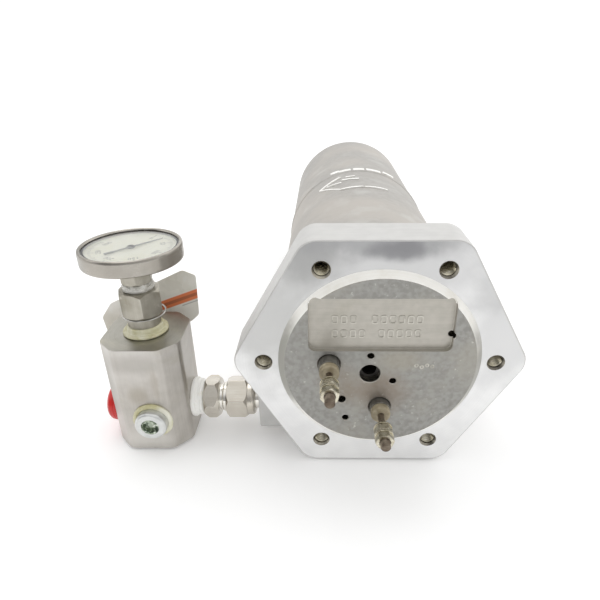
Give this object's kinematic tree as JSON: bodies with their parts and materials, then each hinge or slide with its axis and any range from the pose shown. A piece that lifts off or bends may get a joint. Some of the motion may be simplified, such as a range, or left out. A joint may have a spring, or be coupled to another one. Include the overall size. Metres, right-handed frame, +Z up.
{
  "type": "in-line electric fluid heater",
  "caption": "Cast in-line electric heater for compressed air, with a serpentine flow tube, a tube union, a drilled outlet block, a dial thermometer, a push-in cap and a hanging tag.",
  "frame": {"origin": "centre of the flange's front face, on the axis of the round casting", "axes": "+Y along the casting from the flange to its far end, +X away from the outlet block, +Z up out of the thermometer's dial"},
  "size_m": [0.2915, 0.426, 0.1514],
  "materials": {
    "cast_body": "cast and machined",
    "steel_tube": "drawn",
    "element_sheath": "oxidised",
    "insulator": "matte",
    "stud_steel": "oxidised",
    "terminal_brass": "tarnished",
    "zinc_washer": "zinc plated",
    "well_steel": "dark",
    "union_steel": "machined",
    "white_tape": "thread tape",
    "block_steel": "soft brushed",
    "zinc_plug": "zinc plated",
    "aged_tape": "thread tape",
    "red_cap": "glossy",
    "gauge_steel": "polished",
    "gasket": "matte",
    "lens_glass": "clear",
    "dial_paint": "satin",
    "pointer_paint": "satin",
    "bimetal": "satin",
    "tag_card": "laminated",
    "tie_wire": "drawn wire"
  },
  "bodies": {
    "heater": {"heater_body": "cast_body", "flow_tube": "steel_tube", "outlet_tube": "steel_tube", "inlet_tube": "steel_tube", "heating_element": "element_sheath", "terminal_insulators": "insulator", "terminal_studs": "stud_steel", "terminal_collars": "terminal_brass", "terminal_washers": "zinc_washer", "terminal_nuts": "terminal_brass", "sensor_well": "well_steel", "union_ferrules": "union_steel", "union_body": "union_steel", "union_tape": "white_tape", "manifold_block": "block_steel", "port_plug": "zinc_plug", "plug_tape": "aged_tape", "gauge_adapter": "union_steel", "adapter_tape": "aged_tape", "gauge_stem": "gauge_steel", "stem_sealant": "white_tape", "gauge_case": "gauge_steel", "gauge_bezel": "gauge_steel", "gauge_gasket": "gasket", "gauge_lens": "lens_glass", "gauge_dial": "dial_paint", "bimetal_coil": "bimetal", "tag_tie": "tie_wire"},
    "nut": {"union_nut": "union_steel"},
    "cap": {"port_cap": "red_cap"},
    "tag": {"warning_tag": "tag_card"},
    "pointer": {"gauge_pointer": "pointer_paint", "gauge_spindle": "terminal_brass"}
  },
  "joints": [
    {"name": "pointer_turn", "type": "hinge", "parent": "heater", "child": "pointer", "pos_m": [-0.1472, 0.0325, 0.059], "axis": [0, 0, 1], "range_deg": [-248, 22]},
    {"name": "nut_turn", "type": "hinge", "parent": "heater", "child": "nut", "pos_m": [-0.0886, 0.0325, -0.05], "axis": [1, 0, 0], "continuous": true},
    {"name": "cap_pull", "type": "slide", "parent": "heater", "child": "cap", "axis": [-1, 0, 0], "range_m": [0, 0.03]},
    {"name": "tag_swing", "type": "hinge", "parent": "heater", "child": "tag", "pos_m": [-0.1502, 0.06415, 0.014], "axis": [1, 0, 0], "range_deg": [-2, 70]}
  ]
}
